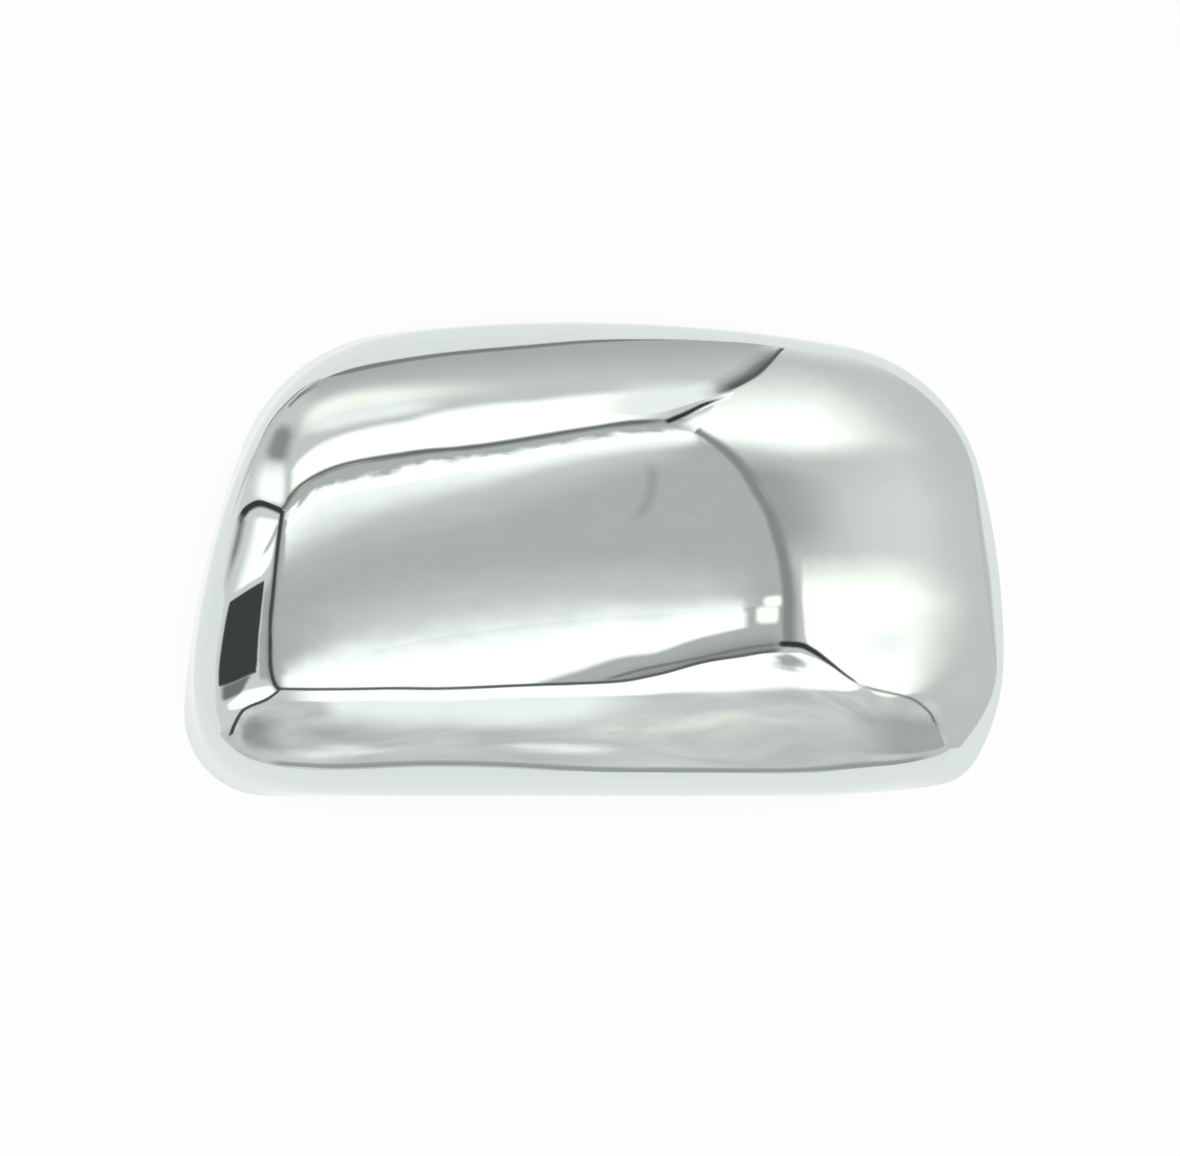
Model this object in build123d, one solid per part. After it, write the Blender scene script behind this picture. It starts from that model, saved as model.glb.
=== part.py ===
from build123d import *
from math import asin, cos, pi, radians, sin, sqrt, tan
import os

# Wing mirror cover: one thin moulded shell, open at the back, lying on its rim.
# The rim lies on Z = 0, the crown points to +Z, the outboard end to +X, the upper edge to +Y.

# Rim outline seen from the front, measured from the lower inboard corner before it is rounded
outer_length = 241.5
outermost_rise = 41.0
inboard_lean = 31.0
inboard_height = 131.5
outboard_lean = 17.5
outboard_height = 126.0
tip_setback = 12.5
tip_rise = 4.0
straight_edge = 177.0

# How far the inboard and upper edges bow out from their chords
inboard_bow = 8.5
upper_bow = 10.0

# Corner radii of the outline
lower_inboard_radius = 24.0
upper_inboard_radius = 51.5
upper_outboard_radius = 50.5
tip_radius = 14.0

# Crown: its height, and where its highest point lies from the lower inboard corner
crown_height = 46.5
crown_across = 97.0
crown_up = 55.5

# How far the crown's arcs fall from its highest point: at each end, and at the upper edge
inboard_fall = 19.6
outboard_fall = 27.5
upper_fall = 22.0
inboard_crown = crown_across**2 / (2 * inboard_fall)
outboard_crown = (outer_length - crown_across) ** 2 / (2 * outboard_fall)
upright_crown = (inboard_height - crown_up) ** 2 / (2 * upper_fall)

# Each side, from the rim up: draft of its wall in degrees, edge radius, shoulder radius
inboard_draft = 10.0
inboard_edge = 8.0
inboard_shoulder = 45.0
upper_draft = 5.0
upper_edge = 9.0
upper_shoulder = 100.0
outboard_draft = 42.0
outboard_edge = 8.0
outboard_shoulder = 145.0
lower_draft = 5.0
lower_edge = 32.0
lower_shoulder = 27.0

# Slope in degrees where the edge meets the shoulder, and the least slope where the shoulder meets the crown
edge_slope = 45.0
crown_slope = 4.0

# Least share by which the crown is flatter than a single arc
crown_margin = 1.04

# Moulding wall, and the broken edges of its rim
wall_thickness = 2.5
rim_chamfer = 0.6

# Height over which the rim's corners melt into the crown
corner_fade = 22.0

# Fineness of the loft, and the share of the quarter turn from rim to apex where the cap starts
station_count = 48
ring_count = 24
fade_passes = 3
cap_start = 0.85


# Rim outline: bowed edges with rounded corners, and a swept outboard end above a small lower tip
def rim_outline():
    lower_inboard = (0, 0)
    upper_inboard = (inboard_lean, inboard_height)
    upper_outboard = (outer_length - outboard_lean, outboard_height)
    outermost = (outer_length, outermost_rise)
    tip = (outer_length - tip_setback, tip_rise)
    straight_end = (straight_edge, 0)
    corners = (
        (lower_inboard, lower_inboard_radius),
        (upper_inboard, upper_inboard_radius),
        (upper_outboard, upper_outboard_radius),
        (tip, tip_radius),
    )
    with BuildSketch() as outline:
        with BuildLine():
            SagittaArc(lower_inboard, upper_inboard, inboard_bow)
            SagittaArc(upper_inboard, upper_outboard, upper_bow)
            TangentArc(outermost, upper_outboard, tangent=(0, 1))
            TangentArc(outermost, tip, tangent=(0, -1))
            TangentArc(straight_end, tip, tangent=(1, 0))
            Line(straight_end, lower_inboard)
        make_face()
        for corner, radius in corners:
            fillet(outline.vertices().sort_by_distance(corner)[0], radius)
    return outline.face().outer_wire()


# Each station of the outline averaged with its neighbours, which melts small corners away
def softened(points):
    for _ in range(fade_passes):
        before = points[-1:] + points[:-1]
        after = points[1:] + points[:1]
        points = [(a + b * 2 + c) / 4 for a, b, c in zip(before, points, after)]
    return points


# Size of a side at a station, blended between two sides by the way the station faces
def facing_blend(normal, outboard, upper, inboard, lower):
    across = outboard if normal.X > 0 else inboard
    along = upper if normal.Y > 0 else lower
    return across * normal.X**2 + along * normal.Y**2


# Section of the cover at one station: drafted wall, edge arc, shoulder arc, then a crown arc to the apex
class Section:
    def __init__(self, spoke, normal):
        self.reach = spoke.dot(normal)
        draft = facing_blend(normal, outboard_draft, upper_draft, inboard_draft, lower_draft)
        edge = facing_blend(normal, outboard_edge, upper_edge, inboard_edge, lower_edge)
        shoulder = facing_blend(normal, outboard_shoulder, upper_shoulder, inboard_shoulder, lower_shoulder)
        lengthwise = outboard_crown if spoke.X > 0 else inboard_crown
        self.crown = self.reach**2 / (spoke.X**2 / lengthwise + spoke.Y**2 / upright_crown)
        self.slope = radians(min(edge_slope, 90 - draft))
        self.draft = radians(draft)
        self.edge = edge

        # The crown is flatter than one arc down to the edge, and the widest shoulder still leaves a crown
        edge_run = edge * (cos(self.draft) - sin(self.slope))
        edge_run -= edge * tan(self.draft) * (cos(self.slope) - sin(self.draft))
        run = (self.reach - edge_run) * cos(self.draft) - crown_height * sin(self.draft)
        turned = sin(self.slope + self.draft)
        self.crown = max(self.crown, crown_margin * run / (turned - sin(self.draft)))
        run += self.crown * sin(self.draft)
        least = sin(radians(crown_slope) + self.draft)
        widest = (run - self.crown * least) / (turned - least)
        self.shoulder = min(shoulder, widest)
        self.join = asin((run - self.shoulder * turned) / (self.crown - self.shoulder)) - self.draft

        # The wall takes the height that is left
        crown_drop = self.crown * (1 - cos(self.join))
        shoulder_drop = self.shoulder * (cos(self.join) - cos(self.slope))
        edge_drop = edge * (cos(self.slope) - sin(self.draft))
        wall = crown_height - crown_drop - shoulder_drop - edge_drop
        self.edge_in = wall * tan(self.draft) + edge * cos(self.draft)
        self.edge_up = wall - edge * sin(self.draft)
        self.shoulder_in = self.edge_in + (self.shoulder - edge) * sin(self.slope)
        self.shoulder_up = self.edge_up - (self.shoulder - edge) * cos(self.slope)

    # Distance in from the rim at a height, on the skin that lies a given depth inside the outer one
    def inset(self, height, depth):
        edge = self.edge - depth
        shoulder = self.shoulder - depth
        crown = self.crown - depth
        up = height - self.edge_up
        if up <= edge * sin(self.draft):
            return height * tan(self.draft) + depth / cos(self.draft)
        if up <= edge * cos(self.slope):
            return self.edge_in - sqrt(edge**2 - up**2)
        up = height - self.shoulder_up
        if up <= shoulder * cos(self.join):
            return self.shoulder_in - sqrt(shoulder**2 - up**2)
        up = height - crown_height + self.crown
        return self.reach - sqrt(max(crown**2 - up**2, 0))


# Stations on the rim, their softened twins and the section that stands on each
rim = rim_outline()
apex = Vector(crown_across, crown_up)
rim_points = [rim.position_at(i / station_count) for i in range(station_count)]
soft_points = softened(rim_points)
sections = []
for i in range(station_count):
    chord = soft_points[(i + 1) % station_count] - soft_points[i - 1]
    spoke = soft_points[i] - apex
    normal = Vector(chord.Y, -chord.X).normalized()
    if spoke.dot(normal) < 0:
        normal = -normal
    sections.append(Section(spoke, normal))


# Closed ring of one skin at a height
def ring(height, depth):
    fade = sin(pi / 2 * min(height / corner_fade, 1))
    points = []
    for hard, soft, section in zip(rim_points, soft_points, sections):
        share = 1 - section.inset(height, depth) / section.reach
        plan = apex + (hard + (soft - hard) * fade - apex) * share
        points.append((plan.X, plan.Y, height))
    return Wire([Edge.make_spline(points, periodic=True, parameters=range(station_count + 1))])


# One skin: a loft through rings that crowd at the rim and at the crown, and a tangent cap over the apex
def skin(depth):
    top = crown_height - depth
    turns = [cap_start * (1 - cos(pi * k / ring_count)) / 2 for k in range(ring_count + 1)]
    rings = [ring(top * sin(pi / 2 * turn), depth) for turn in turns]
    base, side, lid = Solid.make_loft(rings).faces().sort_by(Axis.Z)
    tangent = [(edge, side, ContinuityLevel.C1) for edge in lid.edges()]
    cap = Face.make_surface_patch(tangent, point_constraints=[Vector(apex.X, apex.Y, top)])
    return base.outer_wire(), [side, cap]


# Shell between the outer and the inner skin, closed by a flat rim with broken edges
outer_edge, outer_skin = skin(0)
inner_edge, inner_skin = skin(wall_thickness)
rim_face = Face(outer_edge, [inner_edge])
shell = Solid(Shell(outer_skin + [rim_face] + inner_skin))
shell = shell.chamfer(rim_chamfer, None, shell.faces().sort_by(Axis.Z)[0].edges())

# Origin on the rim's plane, under the middle of the cover
middle = shell.bounding_box().center()
mirror_cover = Pos(-middle.X, -middle.Y, 0) * shell

os.makedirs("parts", exist_ok=True)
export_step(mirror_cover, "parts/mirror_cover.step")
print("cover", mirror_cover.bounding_box().size, "volume", round(mirror_cover.volume))
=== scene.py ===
from math import asin, cos, pi, radians, sin, sqrt, tan

import bmesh
import bpy
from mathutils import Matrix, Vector
from mathutils.geometry import interpolate_bezier


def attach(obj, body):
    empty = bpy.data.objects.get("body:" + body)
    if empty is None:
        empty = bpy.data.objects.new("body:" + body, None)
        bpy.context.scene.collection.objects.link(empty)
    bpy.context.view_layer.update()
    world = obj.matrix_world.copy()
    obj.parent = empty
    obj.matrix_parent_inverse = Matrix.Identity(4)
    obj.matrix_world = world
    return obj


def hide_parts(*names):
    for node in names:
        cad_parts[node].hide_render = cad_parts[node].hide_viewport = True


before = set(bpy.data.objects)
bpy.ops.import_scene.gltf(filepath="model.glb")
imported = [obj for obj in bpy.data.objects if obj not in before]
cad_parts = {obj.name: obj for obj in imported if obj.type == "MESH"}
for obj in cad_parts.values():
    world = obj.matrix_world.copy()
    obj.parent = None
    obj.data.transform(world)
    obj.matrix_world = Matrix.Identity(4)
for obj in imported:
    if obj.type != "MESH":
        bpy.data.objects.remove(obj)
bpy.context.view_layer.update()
mm = 0.001
print("frame loaded")


def linear(hexColour):  # sRGB hex to the linear colour that shaders take
    channels = [int(hexColour[i : i + 2], 16) / 255 for i in (1, 3, 5)]
    return (*[c / 12.92 if c < 0.04045 else ((c + 0.055) / 1.055) ** 2.4 for c in channels], 1.0)


def addNode(tree, kind, *inOrder, **byName):  # inputs in order or by name, settings by name
    node = tree.nodes.new(kind)
    slots = list(zip(node.inputs, inOrder))
    for name, value in byName.items():
        if hasattr(node, name):
            setattr(node, name, value)
        else:
            slots.append((node.inputs[name.replace("_", " ")], value))
    for slot, value in slots:
        if isinstance(value, bpy.types.Node):  # a node gives its first output
            tree.links.new(value.outputs[0], slot)
        elif isinstance(value, bpy.types.NodeSocket):
            tree.links.new(value, slot)
        else:
            slot.default_value = value
    return node


def newMaterial(name):
    material = bpy.data.materials.new(name)
    material.use_nodes = True
    material.node_tree.nodes.clear()
    return material, material.node_tree


def placeMesh(bm, name):  # the modelled mesh as an object at the origin
    mesh = bpy.data.meshes.new(name)
    bm.to_mesh(mesh)
    bm.free()
    thing = bpy.data.objects.new(name, mesh)
    bpy.context.scene.collection.objects.link(thing)
    return thing


# The cover: one moulded shell, in mm and degrees.
# Each knot of the rim is a place, a heading and a handle length.
cover = {
    "rimKnots": (
        (-120.31, -43.62, -94.35, 13.97),
        (-96.38, -69.45, 0.0, 50.78),
        (55.96, -69.45, 0.0, 15.31),
        (101.73, -66.36, 7.74, 4.27),
        (111.88, -59.63, 59.26, 10.98),
        (120.46, -28.45, 90.0, 18.22),
        (113.57, 25.57, 104.54, 19.85),
        (73.25, 62.66, 170.23, 44.9),
        (-60.70, 66.38, 186.59, 19.15),
        (-102.85, 33.74, 248.92, 26.58),
    ),
    "knotSteps": 120,
    "apex": (-24.0, -13.95),
    "height": 46.5,
    "crownInboard": 240.0,  # radii of the crown
    "crownOutboard": 379.6,
    "crownUpright": 131.3,
    "drafts": (42.0, 5.0, 10.0, 5.0),  # of the wall: outboard, upper, inboard, lower
    "edges": (8.0, 9.0, 8.0, 32.0),  # radii, in the same order
    "shoulders": (145.0, 100.0, 45.0, 27.0),
    "edgeSlope": 45.0,  # where the edge meets the shoulder
    "thickness": 2.5,
    "rimRounding": 0.6,
    "roundingSteps": 2,
    "cornerFade": 22.0,  # height over which the rim's corners melt away
    "stations": 144,  # points round each ring
    "rings": 40,
    "capStart": 0.9,  # share of the rings below the cap
    "fadePasses": 27,
    "chordSpan": 4,  # stations on either side that show which way the rim faces
    "smoothing": 1,
}


def rimStations():  # the rim as points at equal steps along its curve
    line = []
    knots = cover["rimKnots"]
    for i, (x, y, heading, handle) in enumerate(knots):
        endX, endY, endHeading, _ = knots[(i + 1) % len(knots)]
        start = Vector((x, y))
        end = Vector((endX, endY))
        leave = start + handle * Vector((cos(radians(heading)), sin(radians(heading))))
        arrive = end - handle * Vector((cos(radians(endHeading)), sin(radians(endHeading))))
        line += interpolate_bezier(start, leave, arrive, end, cover["knotSteps"])[:-1]
    line.append(line[0])
    lengths = [0.0]
    for a, b in zip(line, line[1:]):
        lengths.append(lengths[-1] + (b - a).length)
    points = []
    k = 0
    for i in range(cover["stations"]):
        along = lengths[-1] * i / cover["stations"]
        while lengths[k + 1] < along:
            k += 1
        share = (along - lengths[k]) / (lengths[k + 1] - lengths[k])
        points.append(line[k].lerp(line[k + 1], share))
    return points


def softened(points):  # averaged with their neighbours, so that small corners melt away
    for _ in range(cover["fadePasses"]):
        before = points[-1:] + points[:-1]
        after = points[1:] + points[:1]
        points = [(a + b * 2 + c) / 4 for a, b, c in zip(before, points, after)]
    return points


def sideBlend(normal, sizes):  # a size between two sides, by the way the rim faces
    across = sizes[0] if normal.x > 0 else sizes[2]
    along = sizes[1] if normal.y > 0 else sizes[3]
    return across * normal.x**2 + along * normal.y**2


def makeSection(spoke, normal):  # drafted wall, edge arc, shoulder arc, crown arc
    reach = spoke.dot(normal)
    draft = radians(sideBlend(normal, cover["drafts"]))
    edge = sideBlend(normal, cover["edges"])
    shoulder = sideBlend(normal, cover["shoulders"])
    slope = radians(cover["edgeSlope"])
    lengthwise = cover["crownOutboard"] if spoke.x > 0 else cover["crownInboard"]
    crown = reach**2 / (spoke.x**2 / lengthwise + spoke.y**2 / cover["crownUpright"])
    across = reach - tan(draft) * (cover["height"] - crown) - edge * (cos(draft) - sin(slope))
    across += edge * tan(draft) * (cos(slope) - sin(draft))
    turned = across * cos(draft) - shoulder * sin(slope + draft)
    join = asin(turned / (crown - shoulder)) - draft
    drop = crown * (1 - cos(join)) + shoulder * (cos(join) - cos(slope))
    drop += edge * (cos(slope) - sin(draft))
    wall = cover["height"] - drop
    edgeIn = wall * tan(draft) + edge * cos(draft)
    edgeUp = wall - edge * sin(draft)
    shoulderIn = edgeIn + (shoulder - edge) * sin(slope)
    shoulderUp = edgeUp - (shoulder - edge) * cos(slope)
    return {
        "reach": reach,
        "draft": draft,
        "slope": slope,
        "join": join,
        "edge": (edge, edgeIn, edgeUp),  # radius, centre in from the rim, centre above it
        "shoulder": (shoulder, shoulderIn, shoulderUp),
        "crown": (crown, reach, cover["height"] - crown),
    }


def insetAt(section, height, depth):  # distance in from the rim, on the skin that lies depth inside
    radius, centreIn, centreUp = section["edge"]
    if height - centreUp <= (radius - depth) * sin(section["draft"]):
        return height * tan(section["draft"]) + depth / cos(section["draft"])
    if height - centreUp > (radius - depth) * cos(section["slope"]):
        radius, centreIn, centreUp = section["shoulder"]
        if height - centreUp > (radius - depth) * cos(section["join"]):
            radius, centreIn, centreUp = section["crown"]
    return centreIn - sqrt(max((radius - depth) ** 2 - (height - centreUp) ** 2, 0))


apex = Vector(cover["apex"])
rimPoints = rimStations()
softPoints = softened(rimPoints)
sections = []
for i, soft in enumerate(softPoints):
    ahead = softPoints[(i + cover["chordSpan"]) % len(softPoints)]
    chord = ahead - softPoints[i - cover["chordSpan"]]
    sections.append(makeSection(soft - apex, Vector((chord.y, -chord.x)).normalized()))


def setRing(ring, height, depth):  # puts a ring of vertices on the skin
    fade = sin(pi / 2 * min(height / cover["cornerFade"], 1))
    for vert, hard, soft, section in zip(ring, rimPoints, softPoints, sections):
        share = 1 - insetAt(section, height, depth) / section["reach"]
        plan = apex + (hard.lerp(soft, fade) - apex) * share
        vert.co = Vector((plan.x, plan.y, height)) * mm


def ringEdges(bm, ring):
    return [bm.edges.get((a, b)) for a, b in zip(ring, ring[1:] + ring[:1])]


def pullRing(bm, ring, height, depth, finish):  # extrudes a ring's edges to the next height
    pulled = bmesh.ops.extrude_edge_only(bm, edges=ringEdges(bm, ring))["geom"]
    fresh = {g for g in pulled if isinstance(g, bmesh.types.BMVert)}
    for face in (g for g in pulled if isinstance(g, bmesh.types.BMFace)):
        face.material_index = finish
    ring = [next(e.other_vert(v) for e in v.link_edges if e.other_vert(v) in fresh) for v in ring]
    setRing(ring, height, depth)
    return ring


def raiseSkin(bm, ring, depth, finish):  # rings up from the rim, then a cap of quads over the apex
    top = cover["height"] - depth
    for k in range(1, int(cover["rings"] * cover["capStart"]) + 1):
        ring = pullRing(bm, ring, top * sin(pi / 2 * k / cover["rings"]), depth, finish)
    edges = ringEdges(bm, ring)
    quarter = len(edges) // 4
    rails = edges[:quarter] + edges[2 * quarter : 3 * quarter]
    capFaces = bmesh.ops.grid_fill(bm, edges=rails, mat_nr=finish)["faces"]
    for vert in {v for f in capFaces for v in f.verts} - set(ring):
        away = vert.co.xy / mm - apex
        lengthwise = cover["crownOutboard"] if away.x > 0 else cover["crownInboard"]
        height = top - away.x**2 / (2 * lengthwise) - away.y**2 / (2 * cover["crownUpright"])
        vert.co.z = height * mm


def makeCover():  # finish 0 is the outer skin and the rim, finish 1 the hollow
    bm = bmesh.new()
    outerRim = bmesh.ops.create_circle(bm, segments=cover["stations"], radius=1)["verts"]
    setRing(outerRim, 0, 0)
    raiseSkin(bm, outerRim, 0, 0)
    innerRim = pullRing(bm, outerRim, 0, cover["thickness"], 0)
    raiseSkin(bm, innerRim, cover["thickness"], 1)
    bmesh.ops.recalc_face_normals(bm, faces=bm.faces)
    bmesh.ops.bevel(
        bm,
        geom=ringEdges(bm, outerRim) + ringEdges(bm, innerRim),
        offset=cover["rimRounding"] * mm,
        affect="EDGES",
        segments=cover["roundingSteps"],
        profile=0.5,
        material=-1,
    )
    for face in bm.faces:
        face.smooth = True
    volume = bm.calc_volume(signed=True) / (10 * mm) ** 3
    print("cover volume, cm3:", round(volume, 1), "faces:", len(bm.faces))
    piece = placeMesh(bm, "mirrorCover")
    smooth = piece.modifiers.new("smooth", "SUBSURF")
    smooth.levels = smooth.render_levels = cover["smoothing"]
    return piece


coverPiece = makeCover()
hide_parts("mirror_cover")
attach(coverPiece, "root")
print("cover made")

# Bright chrome plate over a polished moulding: a cool mirror, with slow waves and faint wiping haze
chrome = {
    "name": "brightChromePlate",
    "colour": "#DCE4E1",
    "roughness": (0.015, 0.045),
    "hazeSize": 45.0,  # sizes and depths are in mm
    "hazeDetail": 3.0,
    "hazeRange": (0.35, 0.75),
    "reliefSize": 60.0,  # long waves of the moulding
    "reliefDetail": 0.0,
    "reliefDepth": 0.004,
}

# Satin chrome plate in the hollow, over an unpolished moulding: dull, with a fine grain
satin = {
    "name": "satinChromePlate",
    "colour": "#C3C8C6",
    "roughness": (0.3, 0.42),
    "hazeSize": 30.0,
    "hazeDetail": 4.0,
    "hazeRange": (0.3, 0.7),
    "reliefSize": 0.8,  # grain of the tool, drawn coarse enough to show
    "reliefDetail": 2.0,
    "reliefDepth": 0.02,
}


def makePlate(finish):  # haze sets the roughness, relief the bump
    material, tree = newMaterial(finish["name"])
    place = addNode(tree, "ShaderNodeTexCoord").outputs["Object"]
    haze, relief = (
        addNode(
            tree,
            "ShaderNodeTexNoise",
            Vector=place,
            Scale=1 / (finish[part + "Size"] * mm),
            Detail=finish[part + "Detail"],
        )
        for part in ("haze", "relief")
    )
    rough = addNode(tree, "ShaderNodeMapRange", haze, *finish["hazeRange"], *finish["roughness"])
    bump = addNode(tree, "ShaderNodeBump", Distance=finish["reliefDepth"] * mm, Height=relief)
    plate = addNode(
        tree,
        "ShaderNodeBsdfPrincipled",
        Base_Color=linear(finish["colour"]),
        Metallic=1.0,
        Roughness=rough,
        Normal=bump,
    )
    addNode(tree, "ShaderNodeOutputMaterial", Surface=plate)
    return material


for finish in (chrome, satin):
    coverPiece.data.materials.append(makePlate(finish))
print("finishes made")

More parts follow.
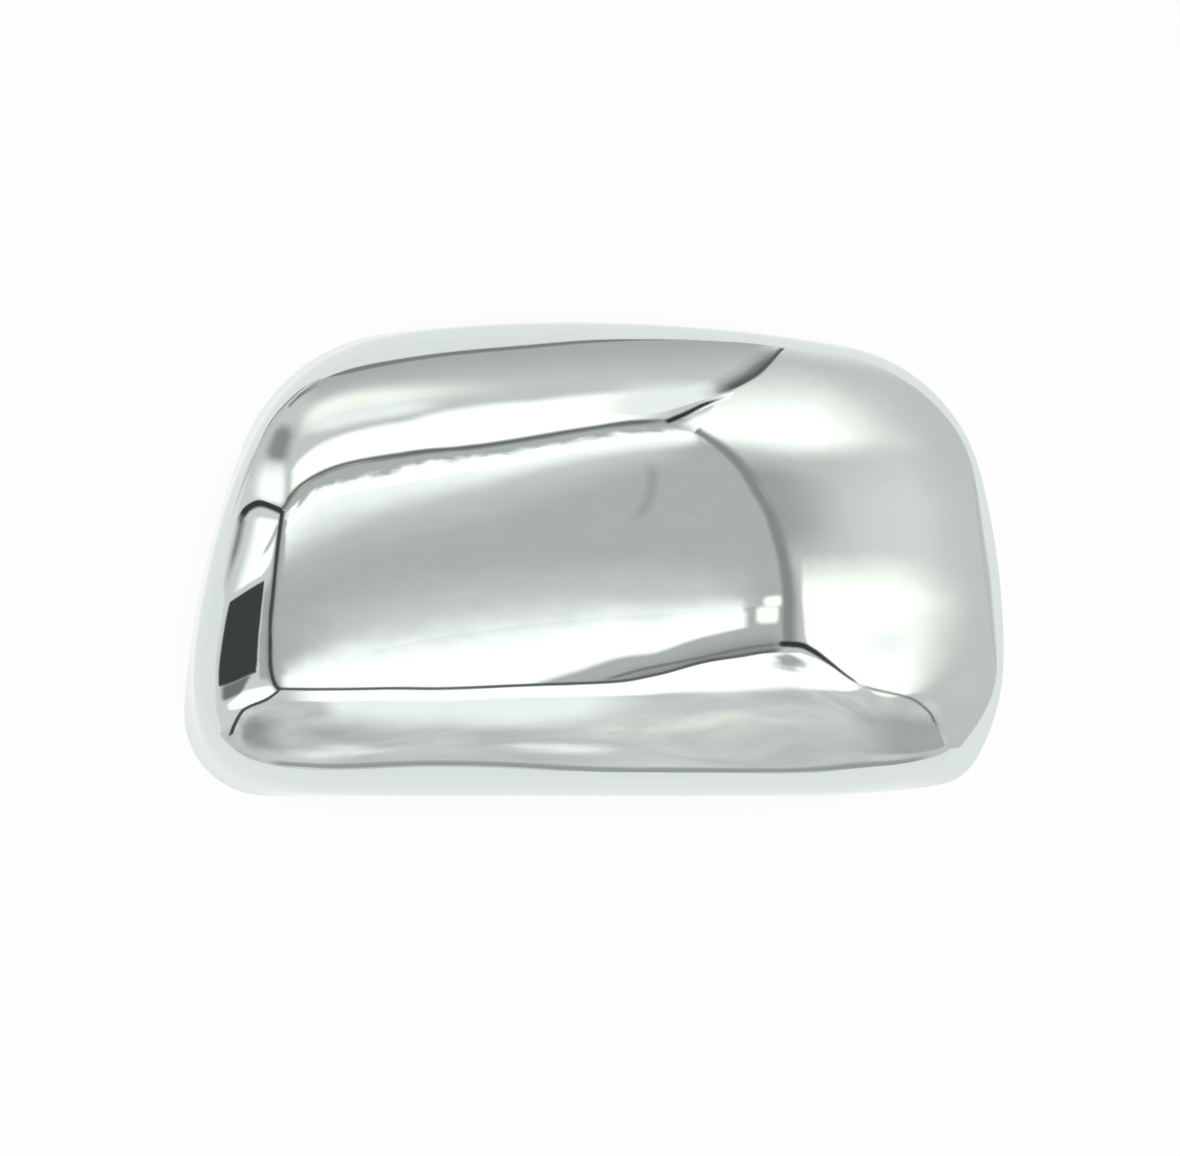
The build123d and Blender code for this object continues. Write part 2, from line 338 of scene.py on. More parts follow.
# Light tent round the cover, in mm: what the chrome mirrors. The camera doesn't see it.
# A place on a plane is (share from its one end to its other, height), and on the ceiling and the
# floor it is (x, y). A card is spanned by two rails, or stands on the floor and ends at its edge.
# It is soft over a share of its length at the start and the end of the rails, and over a share
# of its width at the first and the second rail.
tent = {
    "ceilingHeight": 600.0,
    "floorGap": 0.2,
    "layerGap": 0.1,  # each card lies this far in front of the one before it
    "railSteps": 30,
    "weaveSize": 60.0,  # slow unevenness of the cloth
    "weaveDetail": 5.0,
    "weaveRange": (0.3, 0.7),
    "warmthShare": 0.25,  # share of the blue that a warmth of 1 takes away
    "usual": {"glow": 1.0, "level": 1.0, "weave": 0.02, "ripple": 0.1, "warmth": 0.0},
    "planes": {
        "top": ((-400, 190), (165, 400)),
        "right": ((165, 400), (400, -98)),
        "low": ((-400, -228), (400, -98)),
        "left": ((-400, 190), (-400, -228)),
        "topLeft": ((-323, 43), (-237, 223)),
        "topRight": ((56, 398), (241, 322)),
        "lowRight": ((384, 9), (336, -185)),
        "lowLeft": ((-310, -292), (-410, -118)),
    },
    "cards": {
        "ceiling": {
            "on": "ceiling",
            "level": 0.56,
            "soft": (0, 0, 0, 0),
            "rails": (
                ((-1500, -1500), (1500, -1500)),
                ((-1500, 1500), (1500, 1500)),
            ),
        },
        "wallTop": {
            "on": "top",
            "level": 0.73,
            "soft": (0, 0, 0, 0),
            "edge": (
                (0, 262), (0.14, 273), (0.28, 298), (0.5, 310), (0.65, 293), (0.8, 290), (1, 284),
            ),
        },
        "wallRight": {
            "on": "right",
            "level": 0.7,
            "soft": (0, 0, 0, 0),
            "edge": (
                (0, 324), (0.17, 352), (0.3, 398), (0.41, 417), (0.71, 434), (0.79, 460),
                (0.87, 492), (1, 560),
            ),
        },
        "wallLow": {
            "on": "low",
            "level": 0.72,
            "soft": (0, 0, 0, 0),
            "weave": 0.14,
            "edge": (
                (0, 418), (0.13, 412), (0.28, 397), (0.41, 384), (0.48, 374), (0.55, 357),
                (0.593, 347), (0.627, 357), (0.651, 376), (0.678, 398), (0.714, 419), (0.789, 436),
                (0.917, 491), (1, 560),
            ),
        },
        "wallLeft": {
            "on": "left",
            "level": 0.8,
            "soft": (0, 0, 0, 0),
            "edge": (
                (0, 282), (0.1, 302), (0.32, 362), (0.43, 376), (0.56, 397), (1, 402),
            ),
        },
        "coveTop": {
            "on": "top",
            "level": 0.97,
            "soft": (0, 0, 0, 0.1),
            "edge": (
                (0.28, 1), (0.39, 20), (0.5, 34), (0.63, 33), (0.735, 19), (0.87, 11), (1, 2),
            ),
        },
        "coveLow": {
            "on": "low",
            "level": 0.97,
            "soft": (0, 0, 0, 0.1),
            "edge": (
                (0, 24), (0.2, 21), (0.3, 30), (0.37, 36), (0.42, 40), (0.46, 34), (0.51, 20),
                (0.61, 34), (0.77, 25), (1, 8),
            ),
        },
        "coveLeft": {
            "on": "left",
            "level": 0.97,
            "soft": (0, 0, 0, 0.2),
            "edge": (
                (0, 8), (0.14, 28), (0.25, 46), (0.34, 61), (0.4, 92), (0.53, 96), (0.72, 92),
                (0.81, 80), (0.92, 66), (1, 42),
            ),
        },
        # painted shade: a dark line along the foot of the top wall
        "footShadeTop": {
            "on": "top",
            "level": 0.28,
            "soft": (0.05, 0.1, 0.1, 0.5),
            "rails": (
                ((0.24, 0), (0.28, 0), (0.39, 19), (0.5, 33), (0.63, 32), (0.735, 18), (0.87, 10),
                 (1, 1)),
                ((0.24, 12), (0.28, 14), (0.39, 33), (0.5, 47), (0.63, 46), (0.735, 32), (0.87, 24),
                 (1, 15)),
            ),
        },
        "shadeFloorRight": {
            "on": "floor",
            "level": 0.66,
            "soft": (0.25, 0.25, 0.2, 0),
            "rails": (
                ((70, 112), (100, 92), (130, 60), (145, 18), (139, -1), (150, -20), (185, -65),
                 (185, -95)),
                ((190, 420), (270, 260), (330, 130), (370, 22), (380, 0), (390, -24), (410, -70),
                 (424, -102)),
            ),
        },
        "footRight": {
            "on": "right",
            "level": 0.92,
            "soft": (0, 0.6, 0, 1),
            "edge": (
                (0, 60), (0.2, 55), (0.45, 50),
            ),
        },
        "shadeFloorTopLeft": {
            "on": "floor",
            "level": 0.68,
            "soft": (0.25, 0.25, 0.2, 0),
            "rails": (
                ((-215, 70), (-150, 95), (-150, 122), (-185, 215)),
                ((-415, 90), (-415, 195), (-330, 232), (-230, 270)),
            ),
        },
        # painted shade: the top wall's dark foot line, carried on over the floor
        "footShadeTopLeft": {
            "on": "floor",
            "level": 0.3,
            "soft": (0.2, 0.1, 0.3, 0.4),
            "rails": (
                ((-197, 103), (-146, 84), (-152, 122), (-188, 210)),
                ((-225, 118), (-172, 106), (-176, 136), (-205, 226)),
            ),
        },
        "ceilingGlow": {
            "on": "ceiling",
            "level": 0.8,
            "soft": (0.2, 0.2, 0.95, 0.0),
            "rails": (
                ((-538, -23), (-366, 69), (-240, 110), (28, 157), (223, 165), (374, 149)),
                ((-561, -316), (-374, -195), (-240, -126), (27, -56), (218, -29), (376, -6)),
            ),
        },
        "ceilingStreak": {
            "on": "ceiling",
            "level": 0.46,
            "soft": (0.3, 0.3, 0.5, 0.5),
            "rails": (
                ((158, 575), (158, 428), (136, 313), (112, 267)),
                ((191, 572), (188, 435), (160, 278), (130, 219)),
            ),
        },
        "lampUpper": {
            "on": "ceiling",
            "level": 1.4,
            "soft": (0.04, 0.03, 0.5, 0.0),
            "ripple": 3.0,
            "rails": (
                ((-754, 410), (-592, 427), (-424, 455), (-281, 488), (-105, 575), (-6, 616),
                 (108, 659), (209, 729), (301, 752)),
                ((-640, 269), (-526, 300), (-405, 366), (-267, 389), (-101, 436), (1, 486),
                 (102, 546), (192, 608), (290, 676)),
            ),
        },
        "lampUpperHaze": {
            "on": "ceiling",
            "level": 0.8,
            "soft": (0.04, 0.1, 0.0, 0.95),
            "rails": (
                ((-644, 275), (-529, 305), (-406, 370), (-267, 393), (-101, 442), (1, 493),
                 (103, 552), (193, 615), (292, 684)),
                ((-514, 9), (-464, 21), (-367, 75), (-242, 132), (-91, 182), (2, 253), (89, 338),
                 (169, 426), (270, 532)),
            ),
        },
        "lampUpperGlow": {
            "on": "ceiling",
            "level": 1.25,
            "soft": (0.04, 0.03, 0.0, 1.0),
            "rails": (
                ((-644, 275), (-529, 305), (-406, 370), (-267, 393), (-101, 442), (1, 493),
                 (103, 552), (193, 615), (292, 684)),
                ((-548, 119), (-473, 127), (-376, 180), (-251, 256), (-97, 337), (3, 410),
                 (98, 488), (184, 543), (285, 621)),
            ),
        },
        "lampLower": {
            "on": "ceiling",
            "level": 1.45,
            "soft": (0.03, 0.03, 0.6, 0.1),
            "ripple": 0.25,
            "rails": (
                ((-539, -199), (-390, -99), (-237, -29), (-53, 17), (27, 28), (107, 29), (154, 21),
                 (218, 30), (312, 28)),
                ((-573, -370), (-417, -341), (-254, -314), (-56, -281), (29, -229), (108, -176),
                 (156, -160), (219, -113), (304, -78)),
            ),
        },
        "lampBlobUpper": {
            "on": "ceiling",
            "level": 1.5,
            "soft": (0.35, 0.35, 0.35, 0.35),
            "warmth": 0.35,
            "rails": (
                ((343, 20), (432, 31)),
                ((341, -17), (429, -12)),
            ),
        },
        "lampBlobLower": {
            "on": "ceiling",
            "level": 1.5,
            "soft": (0.3, 0.3, 0.3, 0.3),
            "warmth": 0.35,
            "rails": (
                ((319, -6), (415, 4)),
                ((313, -71), (407, -58)),
            ),
        },
        "shadeCeilingLow": {
            "on": "ceiling",
            "level": 0.3,
            "soft": (0.3, 0.1, 0.95, 0.0),
            "rails": (
                ((16, -242), (108, -186), (163, -160), (219, -119), (304, -81), (421, -47)),
                ((16, -268), (115, -262), (166, -248), (223, -206), (300, -177), (400, -132)),
            ),
        },
        "seamLowTwin": {
            "on": "ceiling",
            "level": 0.25,
            "soft": (0.15, 0.05, 0.45, 0.45),
            "rails": (
                ((81, -228), (105, -217), (128, -205), (152, -191), (177, -179), (228, -158),
                 (284, -135), (405, -97)),
                ((84, -245), (108, -233), (131, -222), (154, -210), (179, -196), (230, -174),
                 (286, -152), (404, -112)),
            ),
        },
        "whiteTop": {
            "on": "top",
            "level": 1.5,
            "soft": (0.06, 0.12, 0.2, 0.0),
            "ripple": 0.4,
            "warmth": 0.25,
            "rails": (
                ((0.145, 164), (0.273, 158), (0.366, 170), (0.469, 179), (0.573, 166), (0.651, 165),
                 (0.728, 158), (0.889, 159)),
                ((0.074, 259), (0.213, 282), (0.306, 296), (0.412, 309), (0.549, 308), (0.655, 302),
                 (0.757, 296), (0.946, 285)),
            ),
        },
        "whiteTopHigh": {
            "on": "top",
            "level": 1.25,
            "soft": (0.2, 0.4, 0.45, 0.4),
            "warmth": 0.2,
            "rails": (
                ((0.275, 20), (0.383, 45), (0.493, 73), (0.65, 96)),
                ((0.213, 123), (0.354, 136), (0.473, 164), (0.651, 165)),
            ),
        },
        "darkTopEnd": {
            "on": "top",
            "level": 0.34,
            "soft": (0.35, 0.3, 0.4, 0.4),
            "rails": (
                ((0.063, 18), (0.192, -6)),
                ((0.146, 187), (0.264, 76)),
            ),
        },
        # painted shade: grey over the top wall's foot, fading upwards
        "footShadeTopHigh": {
            "on": "top",
            "level": 0.54,
            "soft": (0.1, 0.05, 0.0, 1.0),
            "rails": (
                ((0.288, -14), (0.389, 25), (0.498, 43), (0.628, 43), (0.736, 26), (0.868, 10),
                 (0.985, 0)),
                ((0.269, 66), (0.373, 83), (0.486, 115), (0.627, 139), (0.754, 147), (0.931, 149),
                 (1.013, 110)),
            ),
        },
        "bridgeTop": {
            "on": "top",
            "level": 1.15,
            "soft": (0.3, 0.35, 0.45, 0.4),
            "rails": (
                ((0.242, 58), (0.37, 91), (0.484, 122), (0.563, 136)),
                ((0.221, 125), (0.342, 166), (0.467, 185), (0.557, 179)),
            ),
        },
        "glowTopRight": {
            "on": "top",
            "level": 1.12,
            "soft": (0.4, 0.1, 0.6, 0.0),
            "rails": (
                ((0.738, 133), (0.823, 118), (0.958, 142)),
                ((0.758, 230), (0.89, 269), (0.993, 195)),
            ),
        },
        "seamTop": {
            "on": "top",
            "level": 0.19,
            "soft": (0.0, 0.06, 0.4, 0.55),
            "ripple": 0.4,
            "rails": (
                ((0.023, 240), (0.082, 236), (0.148, 238), (0.233, 259), (0.291, 273), (0.336, 281),
                 (0.418, 293), (0.51, 290), (0.589, 290), (0.653, 285), (0.715, 278), (0.79, 278),
                 (0.874, 282), (0.931, 276)),
                ((0.036, 298), (0.092, 287), (0.149, 285), (0.226, 299), (0.28, 304), (0.324, 308),
                 (0.407, 322), (0.498, 326), (0.586, 324), (0.656, 320), (0.725, 315), (0.806, 318),
                 (0.887, 314), (0.943, 307)),
            ),
        },
        "whiteTopCorner": {
            "on": "top",
            "level": 1.4,
            "soft": (0.5, 0.0, 0.2, 0.15),
            "rails": (
                ((0.941, 304), (0.966, 268), (0.994, 221)),
                ((0.988, 335), (1.033, 366), (1.068, 360)),
            ),
        },
        "whiteRightHigh": {
            "on": "right",
            "level": 1.5,
            "soft": (0.0, 0.34, 0.68, 0.27),
            "warmth": 0.2,
            "rails": (
                ((-0.067, 200), (-0.029, 98), (0.058, 49), (0.192, 43), (0.423, 25)),
                ((0.046, 359), (0.159, 330), (0.288, 276), (0.444, 178), (0.606, 33)),
            ),
        },
        "shadeRight": {
            "on": "right",
            "level": 0.46,
            "soft": (0.3, 0.25, 0.0, 0.95),
            "rails": (
                ((0.094, 345), (0.254, 370), (0.445, 407), (0.664, 416)),
                ((0.321, 230), (0.542, 168), (0.647, 151), (0.742, 174)),
            ),
        },
        "sheenRight": {
            "on": "right",
            "level": 0.86,
            "soft": (0.35, 0.1, 0.65, 0.33),
            "rails": (
                ((0.275, 204), (0.482, 274), (0.667, 349), (0.861, 398)),
                ((0.553, 13), (0.67, 2), (0.748, -3), (0.831, 5)),
            ),
        },
        "whiteRightLow": {
            "on": "right",
            "level": 1.5,
            "soft": (0.2, 0.03, 0.05, 0.38),
            "warmth": 0.35,
            "rails": (
                ((0.636, 364), (0.757, 400), (0.858, 428), (0.956, 450), (0.984, 388), (1.001, 318),
                 (1.004, 258)),
                ((0.738, 5), (0.788, 6), (0.831, 12), (0.873, 23), (0.908, 41), (0.952, 66),
                 (0.984, 95)),
            ),
        },
        "greyRightLow": {
            "on": "right",
            "level": 1.24,
            "soft": (0.45, 0.45, 0.45, 0.45),
            "rails": (
                ((0.843, 267), (0.954, 291)),
                ((0.838, 78), (0.915, 84)),
            ),
        },
        "seamRight": {
            "on": "right",
            "level": 0.33,
            "soft": (0.14, 0.0, 0.32, 0.5),
            "rails": (
                ((-0.054, 330), (-0.018, 337), (0.036, 344), (0.107, 358), (0.205, 384),
                 (0.327, 425), (0.475, 450), (0.629, 459), (0.788, 500), (1.011, 608)),
                ((-0.044, 294), (-0.01, 301), (0.048, 308), (0.123, 319), (0.218, 342),
                 (0.347, 375), (0.517, 377), (0.656, 378), (0.791, 400), (0.969, 464)),
            ),
        },
        "glowLow": {
            "on": "low",
            "level": 1.15,
            "soft": (0.1, 0.3, 0.0, 0.7),
            "rails": (
                ((0.146, 344), (0.246, 342), (0.346, 342), (0.443, 325), (0.512, 313), (0.575, 294),
                 (0.612, 267)),
                ((0.253, 209), (0.308, 211), (0.389, 195), (0.454, 169), (0.5, 179), (0.556, 206),
                 (0.6, 216)),
            ),
        },
        "whiteLow": {
            "on": "low",
            "level": 1.5,
            "soft": (0.02, 0.04, 0.0, 0.15),
            "warmth": 0.15,
            "rails": (
                ((-0.007, 420), (0.275, 403), (0.445, 381), (0.516, 364), (0.561, 352),
                 (0.592, 345), (0.626, 354), (0.677, 394), (0.727, 418), (0.799, 435), (0.964, 461),
                 (0.988, 345), (0.997, 249)),
                ((0.08, 326), (0.303, 328), (0.449, 320), (0.512, 305), (0.551, 294), (0.579, 283),
                 (0.603, 268), (0.622, 251), (0.646, 242), (0.682, 236), (0.722, 229), (0.865, 265),
                 (0.991, 246)),
            ),
        },
        "darkLowLeft": {
            "on": "low",
            "level": 0.42,
            "soft": (0.3, 0.5, 0.35, 0.35),
            "weave": 0.1,
            "rails": (
                ((0.025, 191), (0.062, 297), (0.154, 292)),
                ((0.166, 45), (0.259, 43), (0.325, 68)),
            ),
        },
        # painted shade: a dark line along the foot of the low wall
        "footShadeLow": {
            "on": "low",
            "level": 0.42,
            "soft": (0.08, 0.08, 0.5, 0.15),
            "rails": (
                ((0.264, 59), (0.308, 76), (0.353, 75), (0.416, 68), (0.462, 59), (0.508, 43),
                 (0.559, 50), (0.623, 62), (0.696, 44), (0.8, 41)),
                ((0.28, 22), (0.326, 40), (0.368, 39), (0.42, 42), (0.462, 36), (0.507, 20),
                 (0.554, 24), (0.612, 36), (0.677, 25), (0.769, 27)),
            ),
        },
        "streakLowMiddle": {
            "on": "low",
            "level": 1.1,
            "soft": (0.4, 0.4, 0.5, 0.5),
            "ripple": 1.2,
            "weave": 0.15,
            "rails": (
                ((0.447, 159), (0.487, 144), (0.538, 142)),
                ((0.453, 85), (0.484, 69), (0.521, 62)),
            ),
        },
        "streakLowRight": {
            "on": "low",
            "level": 1.0,
            "soft": (0.4, 0.4, 0.5, 0.5),
            "ripple": 1.2,
            "warmth": 0.2,
            "weave": 0.15,
            "rails": (
                ((0.525, 249), (0.606, 216), (0.695, 164)),
                ((0.509, 137), (0.587, 155), (0.654, 106)),
            ),
        },
        "streakLowLeft": {
            "on": "low",
            "level": 0.98,
            "soft": (0.35, 0.4, 0.5, 0.4),
            "ripple": 1.2,
            "weave": 0.15,
            "rails": (
                ((0.226, 168), (0.288, 187), (0.398, 163)),
                ((0.285, 75), (0.347, 87), (0.422, 71)),
            ),
        },
        "darkLowMiddle": {
            "on": "low",
            "level": 0.56,
            "soft": (0.4, 0.4, 0.5, 0.5),
            "ripple": 1.2,
            "weave": 0.15,
            "rails": (
                ((0.153, 247), (0.243, 242), (0.358, 245)),
                ((0.235, 145), (0.288, 168), (0.397, 137)),
            ),
        },
        "darkLowRight": {
            "on": "low",
            "level": 0.5,
            "soft": (0.6, 0.0, 0.35, 0.05),
            "weave": 0.04,
            "rails": (
                ((0.733, 202), (0.907, 234), (0.991, 176), (0.989, 116), (0.959, 71)),
                ((0.64, 79), (0.659, 66), (0.706, 51), (0.762, 43), (0.842, 33)),
            ),
        },
        # painted shade: grey under the right end of the low seam
        "shadeUnderSeamLow": {
            "on": "low",
            "level": 0.5,
            "soft": (0.4, 0.4, 0.4, 0.4),
            "ripple": 1.5,
            "rails": (
                ((0.825, 460), (0.934, 477), (0.971, 417)),
                ((0.739, 332), (0.765, 310), (0.831, 320)),
            ),
        },
        "returnRight": {
            "on": "low",
            "level": 0.68,
            "soft": (0, 0, 0.15, 0),
            "rails": (
                ((1.003, 129), (0.974, 85), (0.921, 55), (0.827, 33)),
                ((1.054, 2), (0.942, -20), (0.874, -25), (0.823, -13)),
            ),
        },
        "seamLow": {
            "on": "low",
            "level": 0.14,
            "soft": (0.0, 0.05, 0.35, 0.35),
            "rails": (
                ((-0.035, 439), (0.115, 430), (0.271, 413), (0.412, 398), (0.483, 387),
                 (0.518, 379), (0.552, 369), (0.574, 363), (0.595, 358), (0.61, 360), (0.63, 371),
                 (0.655, 391), (0.683, 414), (0.72, 436), (0.76, 442), (0.8, 455), (0.935, 514)),
                ((0.002, 401), (0.14, 394), (0.283, 383), (0.415, 371), (0.483, 362), (0.516, 354),
                 (0.548, 346), (0.57, 340), (0.591, 336), (0.606, 337), (0.623, 344), (0.646, 361),
                 (0.673, 382), (0.707, 402), (0.744, 408), (0.78, 418), (0.901, 471)),
            ),
        },
        # painted shade: a dark band along the foot of the left wall
        "footShadeLeft": {
            "on": "left",
            "level": 0.3,
            "soft": (0.1, 0.5, 0.4, 0.6),
            "rails": (
                ((0.15, 30), (0.221, 42), (0.293, 47), (0.373, 47)),
                ((0.134, 96), (0.201, 107), (0.284, 106), (0.373, 101)),
            ),
        },
        "whiteLeft": {
            "on": "left",
            "level": 1.4,
            "soft": (0.1, 0.05, 0.35, 0.1),
            "rails": (
                ((0.116, 100), (0.199, 112), (0.283, 111), (0.383, 105)),
                ((0.031, 281), (0.127, 302), (0.236, 308), (0.304, 269)),
            ),
        },
        "streakLeft": {
            "on": "left",
            "level": 0.62,
            "soft": (0.3, 0.2, 0.45, 0.45),
            "rails": (
                ((0.238, 207), (0.156, 241), (0.043, 260)),
                ((0.237, 248), (0.149, 286), (0.031, 309)),
            ),
        },
        "greyLeft": {
            "on": "left",
            "level": 0.5,
            "soft": (0.2, 0.15, 0.2, 0.0),
            "rails": (
                ((0.335, 289), (0.524, 332), (0.757, 352), (0.882, 347)),
                ((0.272, 331), (0.489, 381), (0.785, 391), (0.93, 391)),
            ),
        },
        "slateLeft": {
            "on": "left",
            "level": 0.063,
            "soft": (0.03, 0.05, 0.05, 0.05),
            "warmth": -0.3,
            "rails": (
                ((0.395, 104), (0.447, 101), (0.533, 101), (0.634, 97), (0.718, 96)),
                ((0.322, 290), (0.418, 313), (0.582, 340), (0.729, 352), (0.835, 348)),
            ),
        },
        "greyLeftLow": {
            "on": "left",
            "level": 0.22,
            "soft": (0.2, 0.3, 0.2, 0.2),
            "rails": (
                ((0.708, 97), (0.807, 97)),
                ((0.824, 348), (0.872, 262)),
            ),
        },
        "whiteLeftLow": {
            "on": "left",
            "level": 1.35,
            "soft": (0.12, 0.1, 0.15, 0.2),
            "rails": (
                ((0.835, 127), (0.854, 248), (0.907, 345), (0.944, 401)),
                ((0.878, 131), (0.966, 253), (1.008, 340), (0.991, 401)),
            ),
        },
        "whiteTopEnd": {
            "on": "topLeft",
            "level": 1.35,
            "soft": (0.5, 0.2, 0.4, 0.25),
            "rails": (
                ((0.528, -1), (0.357, 50)),
                ((0.795, 117), (0.512, 201)),
            ),
        },
        "flankLeft": {
            "on": "left",
            "level": 0.36,
            "soft": (0.1, 0.05, 0.5, 0.5),
            "rails": (
                ((-0.039, 322), (0.215, 382), (0.445, 416), (0.682, 420), (0.853, 410),
                 (0.937, 412), (0.964, 420)),
                ((0.012, 235), (0.226, 289), (0.42, 335), (0.651, 369), (0.834, 373), (0.943, 379),
                 (0.997, 391)),
            ),
        },
        "seamLeft": {
            "on": "left",
            "level": 0.08,
            "soft": (0.0, 0.0, 0.3, 0.3),
            "rails": (
                ((-0.025, 299), (0.218, 356), (0.439, 394), (0.675, 408), (0.849, 401),
                 (0.939, 403), (0.974, 412)),
                ((0.0, 255), (0.223, 314), (0.428, 360), (0.663, 387), (0.841, 385), (0.941, 388),
                 (0.988, 399)),
            ),
        },
        "arcLeft": {
            "on": "topLeft",
            "level": 0.055,
            "soft": (0.05, 0.2, 0.15, 0.4),
            "rails": (
                ((0.497, 188), (0.455, 133), (0.413, 86), (0.355, 56), (0.295, 36), (0.229, 28)),
                ((0.437, 196), (0.41, 147), (0.373, 103), (0.328, 78), (0.277, 65), (0.215, 56)),
            ),
        },
        "shadeTopRight": {
            "on": "top",
            "level": 0.42,
            "soft": (0.2, 0.3, 0.0, 0.8),
            "rails": (
                ((1.014, -2), (1.016, 70), (1.02, 131), (1.0, 180), (0.965, 217)),
                ((0.966, 14), (0.955, 45), (0.952, 89), (0.939, 142), (0.915, 192)),
            ),
        },
        # a dark line at the tent's top right corner, with painted shade fading off its far side
        "cornerTopRight": {
            "on": "topRight",
            "level": 0.12,
            "soft": (0.06, 0.2, 0.12, 0.8),
            "rails": (
                ((0.558, 6), (0.565, 39), (0.568, 70), (0.566, 102), (0.549, 133), (0.525, 158),
                 (0.478, 183)),
                ((0.525, -5), (0.522, 30), (0.506, 55), (0.491, 84), (0.479, 117), (0.46, 148),
                 (0.427, 181)),
            ),
        },
        "streakTopRight": {
            "on": "top",
            "level": 1.4,
            "soft": (0.4, 0.2, 0.5, 0.0),
            "rails": (
                ((0.94, 249), (0.964, 215), (0.982, 192), (1.006, 170)),
                ((0.955, 278), (0.977, 239), (0.994, 213), (1.014, 183)),
            ),
        },
        "cornerTopRightLow": {
            "on": "topRight",
            "level": 0.035,
            "soft": (0.1, 0.3, 0.3, 0.3),
            "rails": (
                ((0.33, 281), (0.4, 242), (0.453, 206), (0.519, 171)),
                ((0.372, 294), (0.431, 255), (0.473, 218), (0.531, 179)),
            ),
        },
        "cornerLowRight": {
            "on": "lowRight",
            "level": 0.045,
            "soft": (0.05, 0.12, 0.3, 0.3),
            "rails": (
                ((0.519, 541), (0.42, 439), (0.42, 383), (0.465, 325), (0.497, 279), (0.511, 231)),
                ((0.643, 545), (0.517, 446), (0.499, 398), (0.51, 336), (0.524, 287), (0.527, 236)),
            ),
        },
        "cornerLowRightFoot": {
            "on": "lowRight",
            "level": 0.2,
            "soft": (0.1, 0.1, 0.3, 0.3),
            "rails": (
                ((0.512, 244), (0.495, 174), (0.5, 122), (0.527, 90), (0.565, 70), (0.641, 56),
                 (0.866, 41)),
                ((0.53, 246), (0.506, 175), (0.508, 123), (0.534, 92), (0.57, 74), (0.653, 60),
                 (0.874, 45)),
            ),
        },
        "cornerLowLeft": {
            "on": "lowLeft",
            "level": 0.09,
            "soft": (0.05, 0.1, 0.3, 0.3),
            "rails": (
                ((0.507, 360), (0.462, 310), (0.504, 251), (0.513, 207), (0.45, 132), (0.292, 39)),
                ((0.547, 361), (0.503, 312), (0.553, 249), (0.579, 192), (0.511, 112), (0.349, 21)),
            ),
        },
    },
}


def tentPlace(plane, a, b, lift):  # a place in the tent, lifted off its cloth towards the cover
    if plane == "ceiling":
        return Vector((a, b, tent["ceilingHeight"] - lift)) * mm
    if plane == "floor":
        return Vector((a, b, tent["floorGap"] + lift)) * mm
    start, end = (Vector(p) for p in tent["planes"][plane])
    place = start.lerp(end, a)
    inwards = Vector((start.y - end.y, end.x - start.x)).normalized()
    place -= inwards * lift * (1 if inwards.dot(start) > 0 else -1)
    return Vector((*place, b)) * mm


def smoothLine(points):  # a smooth line through points, with handles of a sixth of the span beside
    steps = max(2, tent["railSteps"] // (len(points) - 1))
    line = []
    for i in range(len(points) - 1):
        start, end = points[i], points[i + 1]
        leave = start + (end - points[max(i - 1, 0)]) / 6
        arrive = end - (points[min(i + 2, len(points) - 1)] - start) / 6
        line += interpolate_bezier(start, leave, arrive, end, steps + 1)[:-1]
    return line + [points[-1]]


def ramp(share, fade):  # 0 at the very edge, 1 where the fade ends
    return min(share / fade, 1) if fade else 1


def makeCard(name, card, lift, cloth):  # a sheet of cloth between two rails, with soft edges
    if "edge" in card:
        rails = [(share, 0) for share, _ in card["edge"]], card["edge"]
    else:
        rails = card["rails"]
    first, second = (
        smoothLine([tentPlace(card["on"], *place, lift) for place in rail]) for rail in rails
    )
    start, end, near, far = card["soft"]
    rows = sorted({0, near / 2, near, (1 + near - far) / 2, 1 - far, 1 - far / 2, 1})
    columns = len(first) - 1
    bm = bmesh.new()
    bmesh.ops.create_grid(bm, x_segments=columns, y_segments=len(rows) - 1, size=1)
    traits = {trait: bm.verts.layers.float.new(trait) for trait in tent["usual"]}
    for vert in bm.verts:
        k = round((vert.co.x + 1) / 2 * columns)
        row = rows[round((vert.co.y + 1) / 2 * (len(rows) - 1))]
        for trait, usual in tent["usual"].items():
            vert[traits[trait]] = card.get(trait, usual)
        along = ramp(k / columns, start) * ramp(1 - k / columns, end)
        vert[traits["glow"]] = along * ramp(row, near) * ramp(1 - row, far)
        vert.co = first[k].lerp(second[k], row)
    sheet = placeMesh(bm, name)
    sheet.data.materials.append(cloth)
    sheet.visible_camera = sheet.visible_diffuse = sheet.visible_shadow = False


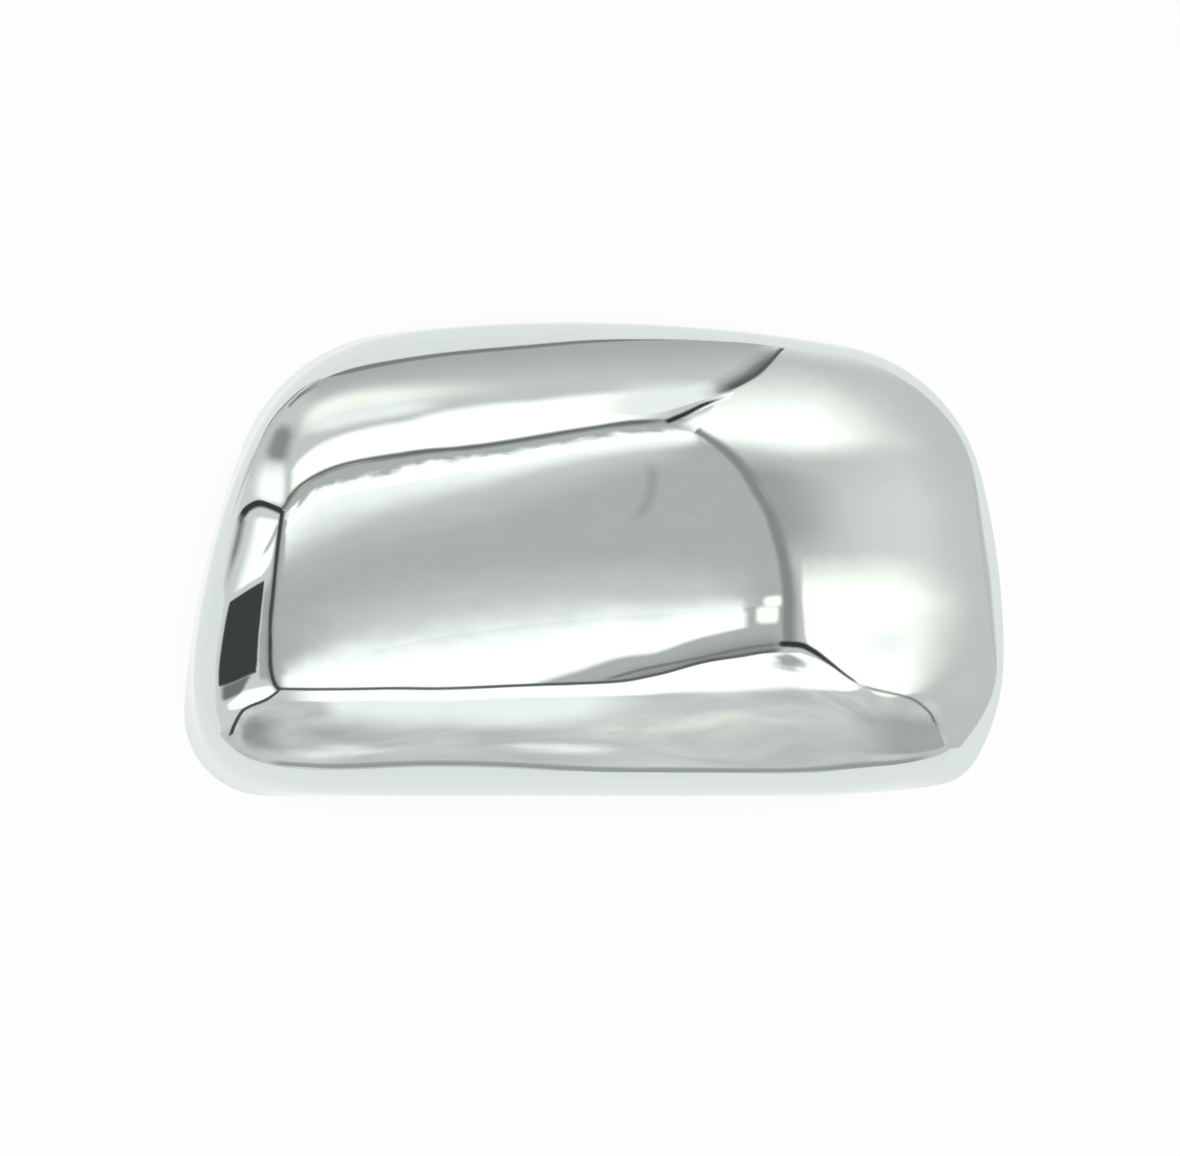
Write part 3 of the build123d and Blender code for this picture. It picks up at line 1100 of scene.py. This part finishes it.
def makeCloth():  # tent cloth that glows: evenly but for its weave, with rippled soft edges
    material, tree = newMaterial("tentCloth")
    threads = addNode(
        tree,
        "ShaderNodeTexNoise",
        Vector=addNode(tree, "ShaderNodeTexCoord").outputs["Object"],
        Scale=1 / (tent["weaveSize"] * mm),
        Detail=tent["weaveDetail"],
    )
    swing = addNode(tree, "ShaderNodeMapRange", threads, *tent["weaveRange"], -1.0, 1.0)
    glow, level, weave, ripple, warmth = (
        addNode(tree, "ShaderNodeAttribute", attribute_name=trait).outputs["Fac"]
        for trait in tent["usual"]
    )
    lift = addNode(tree, "ShaderNodeMath", swing, weave, 1.0, operation="MULTIPLY_ADD")
    strength = addNode(tree, "ShaderNodeMath", level, lift, operation="MULTIPLY")
    lost = -tent["warmthShare"]
    blue = addNode(tree, "ShaderNodeMath", warmth, lost, 1.0, operation="MULTIPLY_ADD")
    tint = addNode(tree, "ShaderNodeCombineColor", Red=1.0, Green=1.0, Blue=blue)
    light = addNode(tree, "ShaderNodeEmission", Color=tint, Strength=strength)
    rest = addNode(tree, "ShaderNodeMath", 1.0, glow, operation="SUBTRACT")
    edge = addNode(tree, "ShaderNodeMath", glow, rest, operation="MULTIPLY")
    stir = addNode(tree, "ShaderNodeMath", edge, ripple, operation="MULTIPLY")
    rippled = addNode(tree, "ShaderNodeMath", swing, stir, glow, operation="MULTIPLY_ADD")
    soft = addNode(tree, "ShaderNodeMapRange", rippled, interpolation_type="SMOOTHSTEP")
    clear = addNode(tree, "ShaderNodeBsdfTransparent")
    sheer = addNode(tree, "ShaderNodeMixShader", soft, clear, light)
    addNode(tree, "ShaderNodeOutputMaterial", Surface=sheer)
    return material


cloth = makeCloth()
for i, (name, card) in enumerate(tent["cards"].items()):
    makeCard("tent." + name, card, tent["layerGap"] * i, cloth)
print("tent made:", len(tent["cards"]), "cards")

# Pale floor: white to the eye and to the chrome, with the cover's shadow in it
floor = {"size": 4000.0, "colour": "#F4F6F5", "white": 0.86}  # mm, and the share of plain white


def viewRays(tree):  # 1 for rays that show the background itself
    rays = addNode(tree, "ShaderNodeLightPath").outputs
    seen = rays["Is Camera Ray"]
    for ray in ("Is Glossy Ray", "Is Transmission Ray"):
        seen = addNode(tree, "ShaderNodeMath", seen, rays[ray], operation="MAXIMUM")
    return seen


def makeFloor():
    material, tree = newMaterial("paleFloor")
    matt = addNode(tree, "ShaderNodeBsdfDiffuse", Color=linear(floor["colour"]))
    white = addNode(tree, "ShaderNodeEmission", Strength=1.0)
    share = addNode(tree, "ShaderNodeMath", viewRays(tree), floor["white"], operation="MULTIPLY")
    pale = addNode(tree, "ShaderNodeMixShader", share, matt, white)
    below = addNode(tree, "ShaderNodeNewGeometry").outputs["Backfacing"]
    clear = addNode(tree, "ShaderNodeBsdfTransparent")  # from below, so that the hollow shows
    oneSided = addNode(tree, "ShaderNodeMixShader", below, pale, clear)
    addNode(tree, "ShaderNodeOutputMaterial", Surface=oneSided)
    bm = bmesh.new()
    bmesh.ops.create_grid(bm, x_segments=1, y_segments=1, size=floor["size"] / 2 * mm)
    sheet = placeMesh(bm, "paleFloor")
    sheet.data.materials.append(material)


makeFloor()

# Studio air: dim light on the cover, plain white to the eye and to the chrome
air = {"ambient": 0.6, "white": 1.0}
world = bpy.data.worlds.new("studio")
bpy.context.scene.world = world
world.use_nodes = True
tree = world.node_tree
tree.nodes.clear()
seen = viewRays(tree)
level = addNode(tree, "ShaderNodeMapRange", seen, To_Min=air["ambient"], To_Max=air["white"])
glow = addNode(tree, "ShaderNodeBackground", Color=(1, 1, 1, 1), Strength=level)
addNode(tree, "ShaderNodeOutputWorld", Surface=glow)
print("floor and world made")

# Soft lamp over the tent, for the floor: the chrome mirrors the tent instead
lamp = {"size": 1200.0, "height": 1200.0, "watts": 8.0}
lampData = bpy.data.lights.new("softbox", "AREA")
lampData.size = lamp["size"] * mm
lampData.energy = lamp["watts"]
softbox = bpy.data.objects.new("softbox", lampData)
softbox.location.z = lamp["height"] * mm
softbox.visible_camera = softbox.visible_glossy = False
bpy.context.scene.collection.objects.link(softbox)
print("lamp made")

# Camera straight over the cover, as the photograph was taken; its width of view is on the floor
view = {"centre": (-1.15, -5.47), "distance": 750.0, "width": 345.8}
cameraData = bpy.data.cameras.new("camera")
cameraData.lens = cameraData.sensor_width * view["distance"] / view["width"]
camera = bpy.data.objects.new("camera", cameraData)
camera.location = Vector((*view["centre"], view["distance"])) * mm
bpy.context.scene.collection.objects.link(camera)
bpy.context.scene.camera = camera
bpy.context.scene.view_settings.view_transform = "Standard"
print("camera placed")
